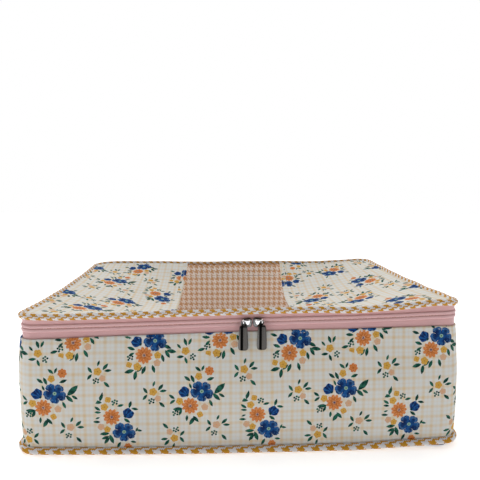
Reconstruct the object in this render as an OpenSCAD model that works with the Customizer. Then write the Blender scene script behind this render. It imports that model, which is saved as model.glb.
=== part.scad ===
// Zipped fabric knitting bag: a low box with piped edges and a soft lid that has a clear window.
// Millimetres, +Z up. The origin is the middle of the flat underside. The front faces -Y.

/* [Body] */
// Outside width of the walls
body_w = 430; // [380:5:500]
// Outside depth of the walls
body_d = 300; // [260:5:340]
// Height of the printed gusset's top edge at the middle of the front
gusset_top = 118.7; // [100:0.1:150]
// Radius of the upright corners
corner_r = 18; // [14:1:30]
// How far the lower front stands out in the middle, where the contents push it
front_bulge = 8; // [0:0.5:10]
// Slope of the front zip line: it climbs towards the right-hand end
front_slope = 0.027; // [0:0.001:0.03]
// How much higher the back edge is than the middle of the front edge
back_rise = 4; // [0:0.5:6]

/* [Lid] */
// Depth of the hollow in the middle of the soft lid
lid_sag = 38; // [10:1:45]
// Width of the clear window between its hems
window_w = 147; // [80:1:200]
// Width of each folded hem beside the window
hem_w = 6; // [3:0.5:10]

/* [Piping] */
// Radius of the covered piping
piping_r = 3.5; // [3:0.1:4.5]
// Radius of the cord inside the piping
piping_cord_r = 2.4; // [1.5:0.1:2.5]

/* [Fabric] */
// Thickness of the quilted outer fabric
fabric_t = 1.2; // [0.8:0.1:1.4]
// Thickness of the lining
lining_t = 0.8; // [0.5:0.1:1]
// Thickness of the clear film
film_t = 0.5; // [0.3:0.1:0.6]
// Thickness of the zip tapes
tape_t = 0.6; // [0.4:0.1:0.6]
// Thickness of the stiffener board in the base
board_t = 2; // [1:0.5:3]

/* [Zip] */
// Height of tape that shows below the chain
lower_tape_w = 5; // [4:0.5:7]
// Height of the closed chain
chain_w = 6.5; // [6:0.1:7]
// Height of tape that shows above the chain
upper_tape_w = 3.8; // [3:0.1:6]
// Where the two sliders' noses meet, to the right of the middle
slider_meet_x = 9; // [-20:1:20]
// Length of one slider
slider_l = 10.6; // [9:0.1:11.5]
// Height of one slider
slider_h = 9.5; // [9:0.1:9.7]
// Length of one pull below its eye
pull_l = 26; // [20:0.5:30]
// Width of one pull
pull_w = 9.5; // [7:0.1:9.6]
// Thickness of one pull
pull_t = 3.2; // [1.4:0.1:3.4]

/* [Hidden] */

half_w = body_w / 2;
half_d = body_d / 2;
corner_steps = 6;
front_steps = 12;
wall_steps = 3;
tube_sides = 10;

// Layers of the wall, as distances inwards from its outer face
layer_gap = 0.1;
tape_in = fabric_t + layer_gap;
lining_in = tape_in + tape_t + layer_gap;
wall_t = lining_in + lining_t;
coil_t = 2.5;
coil_in = tape_in + tape_t / 2 - coil_t / 2;

// Heights at the middle of the front edge
piping_d = 2 * piping_r;
tape_hidden = 10;
coil_gap = 1.2;
chain_z = gusset_top + lower_tape_w + chain_w / 2;
piping_low = gusset_top + lower_tape_w + chain_w + upper_tape_w;
lid_z = piping_low + piping_r;
tape_top = lid_z + 1.2;
lining_top = gusset_top - 0.7;
tape_foot = gusset_top - tape_hidden;

// Piping stands a little outside the walls
lid_piping_out = 2.4;
base_piping_out = 2;
base_inset = piping_r - base_piping_out + 0.3;
lid_inset = wall_t - lining_t + 0.3;
wall_foot = piping_d + 0.2;
hinge_gap = 0.4;

// Lid layers, as heights above the lid's middle surface
panel_up = 1;
film_down = film_t + layer_gap;
lid_lining_down = film_down + 0.2 + lining_t;
hem_t = 0.6;
film_lap = 7;
sag_power_x = 2.2;
sag_power_y = 2;
lid_rows = 24;
lid_columns = 9;

// Slider, in its own frame: x along the zip towards the left-hand end, y outwards, z up
plate_t = 1.3;
plate_gap = 0.3;
plate_front = -coil_in + plate_gap;
plate_back = -coil_in - coil_t - plate_gap;
post_t = 0.8;
post_l = 3;
post_from_nose = 0.5;
weld = 0.1;
tail_h = 7.2;
arch_r = 0.6;
arch_reach = 2.9;
arch_tail = 4.5;
arch_nose = 2.3;
arch_up = 2.6;
link_out = 3.2;
link_r = 2;
link_rod_r = 0.5;
link_drop = link_r - link_rod_r - arch_r - 0.15;
pull_eye_r = link_rod_r + 0.15;
pull_head_r = pull_eye_r + 1;
pull_head_t = 1.2;
pull_top_w = 7.6;
arch_y = plate_front + plate_t + arch_reach;
slider_tilt = atan(front_slope);
slider_left_x = slider_meet_x - slider_l / 2 - 0.2;
slider_right_x = slider_meet_x + slider_l / 2 + 0.6;

print_color = "#cfcdc2";
hound_color = "#d9b98a";
zip_color = "#c79a9a";

// Points of an arc, from angle a to angle b
function arc(cx, cy, r, a, b) =
    [for (i = [0:corner_steps]) let(t = a + (b - a) * i / corner_steps) [cx + r * cos(t), cy + r * sin(t)]];

// The front run between its corners, left to right, standing out by bulge in the middle
function front_run(inset, bulge) =
    let(span = half_w - corner_r)
    [for (i = [1:front_steps - 1])
        let(x = span * (2 * i / front_steps - 1))
        [x, -half_d + inset - bulge * (1 - pow(x / span, 2))]];

// Left side, front and right side of the wall's outline, inset from its outer face
function front_path(inset, bulge = 0) =
    let(cx = half_w - corner_r, cy = half_d - corner_r, r = corner_r - inset)
    concat(
        [[-half_w + inset, cy]],
        arc(-cx, -cy, r, 180, 270),
        front_run(inset, bulge),
        arc(cx, -cy, r, 270, 360),
        [[half_w - inset, cy]]
    );

// The back with its two corners, right to left
function back_path(inset) =
    let(cx = half_w - corner_r, cy = half_d - corner_r, r = corner_r - inset)
    concat(arc(cx, cy, r, 0, 90), arc(-cx, cy, r, 90, 180));

// The whole outline, anticlockwise
function loop_path(inset, bulge = 0) =
    let(cy = half_d - corner_r, whole = front_path(inset, bulge), n = len(whole))
    concat([for (i = [1:n - 2]) whole[i]], back_path(inset));

// Height of the bag's upper edge above its height at the middle of the front
function rise(x, y) =
    let(t = (y + half_d) / body_d)
    (1 - t) * front_slope * x + t * back_rise;

// The lid's middle surface
function lid_at(x, y) =
    let(u = min(1, abs(x) / (half_w - lid_inset)), v = min(1, abs(y) / (half_d - lid_inset)))
    lid_z + rise(x, y) - lid_sag * (1 - pow(u, sag_power_x)) * (1 - pow(v, sag_power_y));

// Half of the lid panel's width at depth y, with its round corners
function lid_edge(y) =
    let(r = corner_r - lid_inset, past = max(0, abs(y) - (half_d - corner_r)))
    half_w - corner_r + sqrt(max(0, r * r - past * past));

// Depths of the lid's rows, closer together near the front and back
function lid_row(i) = -(half_d - lid_inset) * cos(180 * i / lid_rows);

// A closed skin over rings that all have the same number of points
module skin(rings, closed = false) {
    n = len(rings);
    m = len(rings[0]);
    last = closed ? n - 1 : n - 2;
    points = [for (ring = rings) each ring];
    sides = [for (i = [0:last]) for (j = [0:m - 1])
        let(a = i * m, b = (i + 1) % n * m, k = (j + 1) % m)
        each [[a + j, b + j, b + k], [a + j, b + k, a + k]]];
    end = (n - 1) * m;
    caps = closed ? [] : [for (j = [0:m / 2 - 2])
        let(k = m - 1 - j)
        each [[j, j + 1, k - 1], [j, k - 1, k], [end + j + 1, end + j, end + k], [end + j + 1, end + k, end + k - 1]]];
    polyhedron(points = points, faces = concat(sides, caps));
}

// How far the front wall leans out at height z, measured at the middle of the front
function lean(z) = front_bulge * (gusset_top - z) / (gusset_top - wall_foot);

// One level of a band: its outer and inner line, its height, and how much of the rise it follows
function level(outer, inner, z, follow = 1) = [outer, inner, z, follow];

// A level of the leaning front and side walls between two insets
function wall_level(from, to, z, follow = 1) =
    let(b = max(0, lean(z)))
    level(front_path(from, b), front_path(to, b), z, follow);

// The levels of the front and side walls from their foot up to the tape's lower edge
function below_tape(from, to) =
    [for (k = [0:wall_steps])
        let(t = k / wall_steps)
        wall_level(from, to, wall_foot + t * (tape_foot - wall_foot), t)];

// An upright band through its levels, lowest first
module band(levels) {
    count = len(levels[0][0]);
    function put(l, side, i) =
        let(p = l[side][i])
        [p[0], p[1], l[2] + l[3] * rise(p[0], p[1])];
    skin([for (i = [0:count - 1])
        concat(
            [for (k = [0:len(levels) - 1]) put(levels[k], 1, i)],
            [for (k = [len(levels) - 1:-1:0]) put(levels[k], 0, i)]
        )]);
}

// A band with upright faces that follows the bag's upper edge
module edge_band(from, to, low, high) {
    band([wall_level(from, to, low), wall_level(from, to, high)]);
}

// A band of the back wall
module back_band(from, to, low, high, foot_follow = 1) {
    band([
        level(back_path(from), back_path(to), low, foot_follow),
        level(back_path(from), back_path(to), high),
    ]);
}

// A ring of round tube along the outline
module piping_ring(out, r, z, bulge = 0, follow = 1) {
    rows = [for (j = [0:tube_sides - 1])
        let(a = 360 * (j + 0.5) / tube_sides)
        [loop_path(-out - r * cos(a), bulge), r * sin(a)]];
    middle = loop_path(-out, bulge);
    skin([for (i = [0:len(middle) - 1])
        [for (j = [tube_sides - 1:-1:0])
            [rows[j][0][i][0], rows[j][0][i][1],
                z + rows[j][1] + follow * rise(middle[i][0], middle[i][1])]]], true);
}

// A flat plate in the shape of the base
module base_plate(inset, z, t) {
    translate([0, 0, z])
        linear_extrude(t)
            polygon(loop_path(inset, front_bulge));
}

// A thin sheet of the lid between two edges that are functions of depth: side -1 or 1 is a panel from the
// window to the outline, and side 0 is the middle
module lid_sheet(side, from, low, high) {
    skin([for (i = [0:lid_rows])
        let(
            y = lid_row(i),
            a = side == 0 ? -from : side < 0 ? -lid_edge(y) : from,
            b = side == 0 ? from : side < 0 ? -from : lid_edge(y),
            xs = [for (j = [0:lid_columns]) a + (b - a) * j / lid_columns]
        )
        concat(
            [for (j = [0:lid_columns]) [xs[j], y, lid_at(xs[j], y) + low]],
            [for (j = [lid_columns:-1:0]) [xs[j], y, lid_at(xs[j], y) + high]]
        )]);
}

// The folded hem on a panel's edge beside the window
module hem(side) {
    low = panel_up + layer_gap;
    skin([for (i = [0:lid_rows])
        let(
            y = lid_row(i),
            a = min(side * window_w / 2, side * (window_w / 2 + hem_w)),
            b = a + hem_w
        )
        [
            [a, y, lid_at(a, y) + low],
            [b, y, lid_at(b, y) + low],
            [b, y, lid_at(b, y) + low + hem_t],
            [a, y, lid_at(a, y) + low + hem_t],
        ]]);
}

module base_panel() {
    color(print_color) base_plate(base_inset, 0, fabric_t);
}

module base_stiffener() {
    color("#b9b3a4") base_plate(base_inset + wall_t, fabric_t + layer_gap, board_t);
}

module base_lining() {
    color("#d8c7a2") base_plate(base_inset + wall_t, fabric_t + board_t + 2 * layer_gap, lining_t);
}

module base_piping() {
    color(hound_color)
        difference() {
            piping_ring(base_piping_out, piping_r, piping_r * cos(180 / tube_sides), front_bulge, 0);
            piping_ring(base_piping_out, piping_cord_r + layer_gap, piping_r * cos(180 / tube_sides), front_bulge, 0);
        }
}

module base_piping_cord() {
    color("#efece2")
        piping_ring(base_piping_out, piping_cord_r, piping_r * cos(180 / tube_sides), front_bulge, 0);
}

module side_gusset() {
    color(print_color)
        band(concat(below_tape(0, fabric_t), [wall_level(0, fabric_t, gusset_top)]));
}

module gusset_lining() {
    color("#d8c7a2")
        band(concat(below_tape(lining_in, wall_t), [wall_level(lining_in, wall_t, lining_top)]));
}

module back_panel() {
    color(print_color) back_band(0, fabric_t, wall_foot, gusset_top, 0);
}

module back_lining() {
    color("#d8c7a2") back_band(lining_in, wall_t, wall_foot, lining_top, 0);
}

module hinge_strip() {
    color(print_color) back_band(0, fabric_t, gusset_top + layer_gap, piping_low - hinge_gap);
}

module lower_zip_tape() {
    color(zip_color)
        band([
            wall_level(tape_in, tape_in + tape_t, tape_foot),
            wall_level(tape_in, tape_in + tape_t, gusset_top),
            wall_level(tape_in, tape_in + tape_t, chain_z - chain_w / 2),
        ]);
}

module lower_zip_coil() {
    color("#dcb4b4") edge_band(coil_in, coil_in + coil_t, chain_z - chain_w / 2, chain_z - coil_gap / 2);
}

module upper_zip_coil() {
    color("#dcb4b4") edge_band(coil_in, coil_in + coil_t, chain_z + coil_gap / 2, chain_z + chain_w / 2);
}

module upper_zip_tape() {
    color(zip_color) edge_band(tape_in, tape_in + tape_t, chain_z + chain_w / 2, tape_top);
}

module lid_panel(side) {
    color(print_color) lid_sheet(side, window_w / 2, 0, panel_up);
}

module lid_lining(side) {
    color("#d8c7a2") lid_sheet(side, window_w / 2, -lid_lining_down, -lid_lining_down + lining_t);
}

module window_film() {
    color("#dfe6e8", 0.4) lid_sheet(0, window_w / 2 + film_lap, -film_down, -layer_gap);
}

module window_hem(side) {
    color("#e8e6e0") hem(side);
}

module lid_piping() {
    color(hound_color)
        difference() {
            piping_ring(lid_piping_out, piping_r, lid_z);
            piping_ring(lid_piping_out, piping_cord_r + layer_gap, lid_z);
        }
}

module lid_piping_cord() {
    color("#efece2") piping_ring(lid_piping_out, piping_cord_r, lid_z);
}

// Outline of a slider's plate: wide at the nose, which is at +x, and narrower at the tail
function plate_outline() =
    let(n = slider_l / 2, h = slider_h / 2, t = tail_h / 2)
    [
        [n, -h + 2], [n, h - 2], [n - 0.6, h - 0.6], [n - 2, h],
        [n - 5, h - 0.3], [-n + 2, t], [-n + 0.6, t - 0.6], [-n, t - 2],
        [-n, -t + 2], [-n + 0.6, -t + 0.6], [-n + 2, -t], [n - 5, -h + 0.3],
        [n - 2, -h], [n - 0.6, -h + 0.6],
    ];

// Places a child at a slider, with +x towards the nose, y outwards from the wall and z up
module at_slider(x, nose) {
    translate([x, -half_d, chain_z + front_slope * x])
        rotate([0, -slider_tilt, 0])
            scale_x(nose)
                children();
}

// Mirrors left to right where nose is -1
module scale_x(nose) {
    if (nose > 0)
        children();
    else
        mirror([1, 0, 0]) children();
}

module plate(y, t) {
    translate([0, -y, 0])
        rotate([90, 0, 0])
            linear_extrude(t)
                polygon(plate_outline());
}

// Slider body: two plates joined by the post that parts the chain, and the arch that carries the link
module slider(x, nose) {
    color("#c8c8cc")
        at_slider(x, nose) {
            plate(plate_front, plate_t);
            plate(plate_back - plate_t, plate_t);
            translate([slider_l / 2 - post_l - post_from_nose, -plate_front - weld, -post_t / 2])
                cube([post_l, plate_front - plate_back + 2 * weld, post_t]);
            for (end = [-arch_tail, arch_nose])
                translate([end, -plate_front - plate_t + weld, arch_up])
                    rotate([90, 0, 0])
                        cylinder(h = arch_reach + weld, r = arch_r, $fn = 24);
            translate([-arch_tail - arch_r, -arch_y, arch_up])
                rotate([0, 90, 0])
                    cylinder(h = arch_tail + arch_nose + 2 * arch_r, r = arch_r, $fn = 24);
        }
}

// Middle of the arch where the link hangs
function link_x(x, nose) = x - nose * link_out;
function link_z(x) = chain_z + front_slope * x + arch_up;

// Round link that hangs from the arch
module link(x, nose) {
    color("#c8c8cc")
        translate([link_x(x, nose), -half_d - arch_y, link_z(x) - nose * front_slope * link_out - link_drop])
            rotate([0, 90, 0])
                rotate_extrude($fn = 40)
                    translate([link_r, 0])
                        circle(r = link_rod_r, $fn = 20);
}

// Flat outline of the pull's bar, from its narrow shoulders to its round end
function pull_outline() =
    let(r = pull_w / 2, low = -pull_l + r)
    concat(
        [[-pull_top_w / 2 + 1.2, -1.4], [pull_top_w / 2 - 1.2, -1.4], [pull_top_w / 2, -2.6]],
        [for (i = [0:12]) [r * cos(-15 * i), low + r * sin(-15 * i)]],
        [[-pull_top_w / 2, -2.6]]
    );

// Pull that hangs from the link: an eye and a long rounded bar
module pull(x, nose) {
    z = link_z(x) - nose * front_slope * link_out - link_drop - link_r;
    color("#77777c")
        translate([link_x(x, nose), -half_d - arch_y, z])
            difference() {
                union() {
                    translate([0, pull_t / 2, 0])
                        rotate([90, 0, 0])
                            linear_extrude(pull_t)
                                polygon(pull_outline());
                    rotate([90, 0, 0])
                        cylinder(h = pull_head_t, r = pull_head_r, center = true, $fn = 32);
                }
                rotate([90, 0, 0])
                    cylinder(h = 2 * pull_t, r = pull_eye_r, center = true, $fn = 32);
            }
}

base_panel();
base_stiffener();
base_lining();
base_piping();
base_piping_cord();
side_gusset();
gusset_lining();
back_panel();
back_lining();
hinge_strip();
lower_zip_tape();
lower_zip_coil();
lid_panel(-1);  // lid_panel_left
lid_panel(1);  // lid_panel_right
lid_lining(-1);  // lid_lining_left
lid_lining(1);  // lid_lining_right
window_film();
window_hem(-1);  // window_hem_left
window_hem(1);  // window_hem_right
lid_piping();
lid_piping_cord();
upper_zip_tape();
upper_zip_coil();
slider(slider_left_x, 1);  // slider_left
link(slider_left_x, 1);  // slider_left_link
pull(slider_left_x, 1);  // slider_left_pull
slider(slider_right_x, -1);  // slider_right
link(slider_right_x, -1);  // slider_right_link
pull(slider_right_x, -1);  // slider_right_pull
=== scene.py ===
import math

import bmesh
import bpy
import numpy as np
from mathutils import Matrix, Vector


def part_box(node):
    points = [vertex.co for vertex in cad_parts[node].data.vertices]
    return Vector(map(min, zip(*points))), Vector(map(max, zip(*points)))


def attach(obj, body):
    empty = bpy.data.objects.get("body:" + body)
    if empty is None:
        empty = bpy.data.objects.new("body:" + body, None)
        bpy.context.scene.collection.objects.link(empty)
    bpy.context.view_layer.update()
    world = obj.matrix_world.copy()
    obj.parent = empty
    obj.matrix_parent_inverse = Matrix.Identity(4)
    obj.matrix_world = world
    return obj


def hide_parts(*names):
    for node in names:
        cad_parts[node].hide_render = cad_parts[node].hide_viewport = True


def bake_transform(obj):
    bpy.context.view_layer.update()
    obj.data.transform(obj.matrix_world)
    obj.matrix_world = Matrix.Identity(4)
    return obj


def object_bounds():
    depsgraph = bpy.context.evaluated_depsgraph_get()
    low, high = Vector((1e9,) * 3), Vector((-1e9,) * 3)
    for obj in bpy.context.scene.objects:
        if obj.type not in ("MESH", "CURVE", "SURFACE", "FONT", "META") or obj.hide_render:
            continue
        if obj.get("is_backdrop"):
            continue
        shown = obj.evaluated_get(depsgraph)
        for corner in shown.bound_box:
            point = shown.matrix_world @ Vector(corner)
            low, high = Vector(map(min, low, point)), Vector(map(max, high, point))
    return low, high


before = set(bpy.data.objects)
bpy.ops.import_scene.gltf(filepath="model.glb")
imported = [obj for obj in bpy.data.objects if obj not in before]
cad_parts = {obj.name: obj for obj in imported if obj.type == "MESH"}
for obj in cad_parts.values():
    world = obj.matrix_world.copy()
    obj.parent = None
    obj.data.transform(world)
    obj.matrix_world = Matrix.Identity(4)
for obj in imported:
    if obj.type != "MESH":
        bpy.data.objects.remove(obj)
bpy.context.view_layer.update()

MM = 0.001

# -------------------- sizes, in millimetres
HALF_W = round(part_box("side_gusset")[1].x / MM, 2)
HALF_D = round(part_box("back_panel")[1].y / MM, 2)
CORNER = 18.0  # radius of the four upright corners
GUSSET_TOP = 118.7
CHAIN_Z = 126.95
LID_Z = 137.5
FRONT_SLOPE = 0.027  # the upper edge climbs to the right along the front
BACK_RISE = 4.0
LID_SAG = 38.0
WINDOW_HALF = 73.5
FILM_HALF = 80.0
WALL_FOOT = 5.2
LINING_FOOT = 6.5
LINING_IN = 2.1
LINING_DROP = 0.7  # from the top of the wall down to the lining's edge
PIPE_R = 3.5
FILLER_R = 2.5
LID_PIPE_OUT = -0.7
BASE_PIPE_OUT = 1.0
BASE_PIPE_Z = 3.4
COIL_PITCH = 1.3
COIL_OFF = 1.93  # from the chain's middle to the middle of either half
LOWER_TAPE = (GUSSET_TOP - 9.5, 123.9)
UPPER_TAPE = (129.7, 139.9)
LID_INSET = 2.2
LID_LINING_INSET = 2.3
LID_LINING_DOWN = 1.6
FILM_DOWN = 0.65
BASE_UP = 1.2
BASE_LINING_UP = 4.2
SIDE_RUN = 2 * (HALF_D - CORNER)
FRONT_RUN = 2 * (HALF_W - CORNER)
CORNER_RUN = math.pi / 2 * CORNER
WALL_RUN = 2 * SIDE_RUN + FRONT_RUN + 2 * CORNER_RUN
LOOP_RUN = WALL_RUN + FRONT_RUN + 2 * CORNER_RUN
FRONT_MIDDLE = SIDE_RUN + CORNER_RUN + FRONT_RUN / 2
# thicknesses
WALL_CLOTH = 0.35
LID_CLOTH = 0.9
LINING_CLOTH = 0.6
TAPE_CLOTH = 0.45
# stitches: spacing, length, radius
TOPSTITCH = (3.3, 2.7, 0.26)
FINE_STITCH = (2.1, 1.6, 0.16)
STITCH_DROP = 2.6  # from a folded edge to its topstitching


def show(name, data):
    obj = bpy.data.objects.new(name, data)
    bpy.context.scene.collection.objects.link(obj)
    return obj


# -------------------- camera
camera_data = bpy.data.cameras.new("camera")
camera_data.sensor_width = 36
camera_data.lens = 34.9
camera = show("camera", camera_data)
camera.location = Vector((-21.4, -585.5, 247.2)) * MM
camera.rotation_euler = (math.radians(84.65), math.radians(-0.24), math.radians(-2.39))
bpy.context.scene.camera = camera


# -------------------- the bag's lines
def smoothstep(low, high, value):
    t = np.clip((np.asarray(value, float) - low) / (high - low), 0, 1)
    return t * t * (3 - 2 * t)


def outline(s):
    """Places on the wall's outline and outward directions, s along it from the back end of the left side."""
    s = np.asarray(s, float) % LOOP_RUN
    cx, cy = HALF_W - CORNER, HALF_D - CORNER
    x, y, nx, ny = np.zeros((4,) + s.shape)
    runs = (
        (SIDE_RUN, -HALF_W, cy, (0, -1)), (CORNER_RUN, -cx, -cy, math.pi),
        (FRONT_RUN, -cx, -HALF_D, (1, 0)), (CORNER_RUN, cx, -cy, math.pi * 1.5),
        (SIDE_RUN, HALF_W, -cy, (0, 1)), (CORNER_RUN, cx, cy, 0.0),
        (FRONT_RUN, cx, HALF_D, (-1, 0)), (CORNER_RUN, -cx, cy, math.pi / 2),
    )
    start = 0.0
    for length, px, py, way in runs:
        here = (s >= start) & (s <= start + length)
        t = s[here] - start
        if isinstance(way, tuple):
            x[here], y[here] = px + way[0] * t, py + way[1] * t
            nx[here], ny[here] = way[1], -way[0]
        else:
            a = way + t / CORNER
            nx[here], ny[here] = np.cos(a), np.sin(a)
            x[here], y[here] = px + CORNER * nx[here], py + CORNER * ny[here]
        start += length
    return x, y, nx, ny


def beside(s, out, z):
    """Places at s along the outline, out from it, at height z."""
    x, y, nx, ny = outline(s)
    return np.stack([x + nx * out, y + ny * out, z], -1)


def rise(x, y):
    """Height of the upper edge above its height at the middle of the front."""
    t = (y + HALF_D) / (2 * HALF_D)
    return (1 - t) * FRONT_SLOPE * x + t * BACK_RISE


def hump(x, middle, width):
    return np.exp(-(((x - middle) / width) ** 2))


def sway(x, y):
    """Soft waves of the upper edge."""
    t = np.clip((y + HALF_D) / (2 * HALF_D), 0, 1)
    front = 2.6 * hump(x, 190, 24) - 1.9 * hump(x, 107, 36) + 1.6 * hump(x, -212, 34)
    back = 4.2 * hump(x, 215, 60) + 0.5 * np.sin(x / 31.0)
    side = 4 * t * (1 - t) * (5.0 * smoothstep(120, 216, -x) + 1.5 * smoothstep(120, 216, x))
    return front * (1 - t) ** 2 + back * t**2 - side


def ripple(u, v, size, seed, waves=7):
    """Smooth wandering noise around 0, about as wide as size."""
    rng = np.random.RandomState(seed)
    total = np.zeros(np.broadcast(u, v).shape)
    for _ in range(waves):
        a, p = rng.uniform(0, 2 * math.pi, 2)
        k = 2 * math.pi / (size * rng.uniform(0.7, 1.6))
        total += np.sin(k * (u * math.cos(a) + v * math.sin(a)) + p)
    return total / math.sqrt(waves)


def swell(s, z):
    """How far the soft wall stands outside the outline."""
    x, y, nx, ny = outline(s)
    front = np.clip(-ny, 0, 1) * np.clip(1 - (x / (HALF_W - CORNER)) ** 2, 0, 1)
    back = np.clip(ny, 0, 1)
    low = 1 - smoothstep(46, 118, z)
    middle = np.sin(np.clip((z - 7) / 111, 0, 1) * math.pi)
    return (1.4 + 3.6 * front + 0.4 * back) * low + 2.4 * middle


def front_share(y):
    """1 at the front of the bag, 0 at its back."""
    return np.clip((HALF_D - y) / (2 * HALF_D), 0, 1)


def top_line(s):
    """Height of the wall's folded top edge."""
    x, y, nx, ny = outline(s)
    ends = 2.8 * smoothstep(110, 215, x) + 1.4 * smoothstep(120, 215, -x)
    return GUSSET_TOP - 0.9 + rise(x, y) + 0.5 * sway(x, y) - ends * front_share(y)


def print_line(s):
    """The line the printed rows are measured down from."""
    x, y, nx, ny = outline(s)
    return GUSSET_TOP - 1.5 + 0.33 * rise(x, y)


def foot_lift(s):
    """The soft corner at the right of the front stands a little off the floor."""
    x, y, nx, ny = outline(s)
    return 3.2 * smoothstep(100, 216, x) * front_share(y)


def lid_edge(y, inset):
    """Half width of the bag's plan at depth y, drawn in by inset."""
    r = CORNER - inset
    past = np.maximum(0, np.abs(y) - (HALF_D - CORNER))
    return HALF_W - CORNER + np.sqrt(np.maximum(0, r * r - past * past))


def lid_at(x, y):
    """The lid's middle surface, with the soft waves of its cloth."""
    edge = 2.3
    u = np.clip(np.abs(x) / (HALF_W - edge), 0, 1)
    v = np.clip(np.abs(y) / (HALF_D - edge), 0, 1)
    inner = (1 - u**2.2) * (1 - v**2)
    free = np.clip(inner * 7, 0, 1)
    z = LID_Z + rise(x, y) + sway(x, y) * np.clip(1 - inner * 2, 0, 1) - LID_SAG * inner
    return z + free * (0.7 * ripple(x, y, 95, 5) + 0.35 * ripple(x, y, 38, 6))


# -------------------- meshes
def add_mesh(name, points, faces, material, body, cloth=None):
    """A smooth mesh that rides body. cloth gives each point's place on its flat fabric."""
    mesh = bpy.data.meshes.new(name)
    points = np.asarray(points, float).reshape(-1, 3) * MM
    mesh.from_pydata(points.tolist(), [], [tuple(map(int, face)) for face in faces])
    mesh.update()
    if cloth is not None:
        spots = np.zeros((len(mesh.vertices), 3), np.float32)
        spots[:, : cloth.shape[-1]] = cloth.reshape(-1, cloth.shape[-1])
        attribute = mesh.attributes.new("cloth", "FLOAT_VECTOR", "POINT")
        attribute.data.foreach_set("vector", spots.ravel())
    mesh.materials.append(material)
    mesh.polygons.foreach_set("use_smooth", [True] * len(mesh.polygons))
    obj = show(name, mesh)
    if body:
        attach(obj, body)
    return obj


def grid_faces(rows, columns, wrap_rows=False, wrap_columns=False):
    index = np.arange(rows * columns).reshape(rows, columns)
    if wrap_rows:
        index = np.vstack([index, index[:1]])
    if wrap_columns:
        index = np.hstack([index, index[:, :1]])
    quads = np.stack([index[:-1, :-1], index[1:, :-1], index[1:, 1:], index[:-1, 1:]], -1)
    return quads.reshape(-1, 4)


def thicken(obj, thickness, offset=-1.0):
    """Turns a one-sided sheet into a closed one."""
    modifier = obj.modifiers.new("thickness", "SOLIDIFY")
    modifier.thickness = thickness * MM
    modifier.offset = offset
    modifier.use_rim = True
    modifier.use_quality_normals = True
    depsgraph = bpy.context.evaluated_depsgraph_get()
    mesh = bpy.data.meshes.new_from_object(obj.evaluated_get(depsgraph))
    obj.modifiers.clear()
    obj.data = mesh


def wall_band(name, span, levels, material, body, thickness, side=-1.0):
    """A strip of cloth along the wall. levels gives each row's height, outward offset and place on the cloth."""
    s = np.linspace(span[0], span[1], int((span[1] - span[0]) / 2.6))
    points = np.zeros((len(levels), len(s), 3))
    cloth = np.zeros((len(levels), len(s), 2))
    for row, (height, offset, down) in enumerate(levels):
        z = height(s)
        points[row] = beside(s, offset(s, z) if callable(offset) else offset, z)
        cloth[row, :, 0] = s - FRONT_MIDDLE
        cloth[row, :, 1] = down(s, z) if callable(down) else down
    obj = add_mesh(name, points, grid_faces(len(levels), len(s)), material, body, cloth)
    thicken(obj, thickness, side)
    return obj


def tube(name, centre_out, centre_z, radius, material, body, pucker=0.0, seed=1):
    """A round closed tube along the whole outline."""
    sides, pleat = 20, LOOP_RUN / round(LOOP_RUN / 4.1)
    s = np.linspace(0, LOOP_RUN, 880, endpoint=False)
    out, z = centre_out(s), centre_z(s)
    points = np.zeros((len(s), sides + 1, 3))
    cloth = np.zeros((len(s), sides + 1, 2))
    for j, a in enumerate(np.linspace(0, 2 * math.pi, sides + 1) + math.pi):
        pleats = np.sin(2 * math.pi * s / pleat + 1.5 * math.sin(a))
        r = radius * (1 + pucker * 0.6 * (pleats + ripple(s, radius * a + 0 * s, 13, seed, 5)))
        points[:, j] = beside(s, out + r * math.cos(a), z + r * math.sin(a))
        cloth[:, j] = np.stack([s, 0 * s + radius * (a - math.pi)], 1)
    points[:, sides] = points[:, 0]
    points = np.concatenate([points, points[:1]])
    cloth = np.concatenate([cloth, cloth[:1] + np.array([LOOP_RUN, 0])])
    return add_mesh(name, points, grid_faces(len(s) + 1, sides + 1), material, body, cloth)


def plan_sheet(name, x_from, x_to, low, material, body, thickness, side=1.0, rows=84, columns=48, inset=LID_INSET,
               height=lid_at, cloth=None):
    """A sheet lying in the bag's plan between two sides that depend on depth, low above the given height."""
    ys = -(HALF_D - inset) * np.cos(np.linspace(0, math.pi, rows))
    a, b = x_from(ys)[:, None], x_to(ys)[:, None]
    xs = a + (b - a) * np.linspace(0, 1, columns)[None, :]
    yy = np.repeat(ys[:, None], columns, 1)
    points = np.stack([xs, yy, height(xs, yy) + low], -1)
    spots = np.stack(cloth(xs, yy) if cloth else (xs, -yy), -1)
    obj = add_mesh(name, points, grid_faces(rows, columns)[:, ::-1], material, body, spots)
    thicken(obj, thickness, side)
    return obj


def stitches(name, places, ways, ups, kind, material, body):
    """Short rounded threads lying along ways, standing a little out of the cloth along ups."""
    _, length, radius = kind
    sides = 6
    # along the thread, its fatness and its lift, from one end to the other
    half = ((0.5, 0.0, -0.9), (0.44, 0.75, -0.25), (0.2, 1.0, 0.1))
    rings = [(-along, fat, lift) for along, fat, lift in half] + list(half[::-1])
    points, faces = [], []
    for place, way, up in zip(places, ways, ups):
        side = np.cross(way, up)
        base = len(points)
        for along, fat, lift in rings:
            centre = place + way * (along * length) + up * (lift * radius)
            if fat == 0:
                points.append(centre)
                continue
            for k in range(sides):
                a = 2 * math.pi * k / sides
                points.append(centre + radius * fat * (math.cos(a) * side + math.sin(a) * up))
        for k in range(sides):
            n = (k + 1) % sides
            faces.append((base, base + 1 + n, base + 1 + k))
            for ring in range(3):
                p = base + 1 + ring * sides
                faces.append((p + k, p + n, p + sides + n, p + sides + k))
            p = base + 1 + 3 * sides
            faces.append((p + k, p + n, p + sides))
    return add_mesh(name, np.array(points), faces, material, body)


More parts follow.
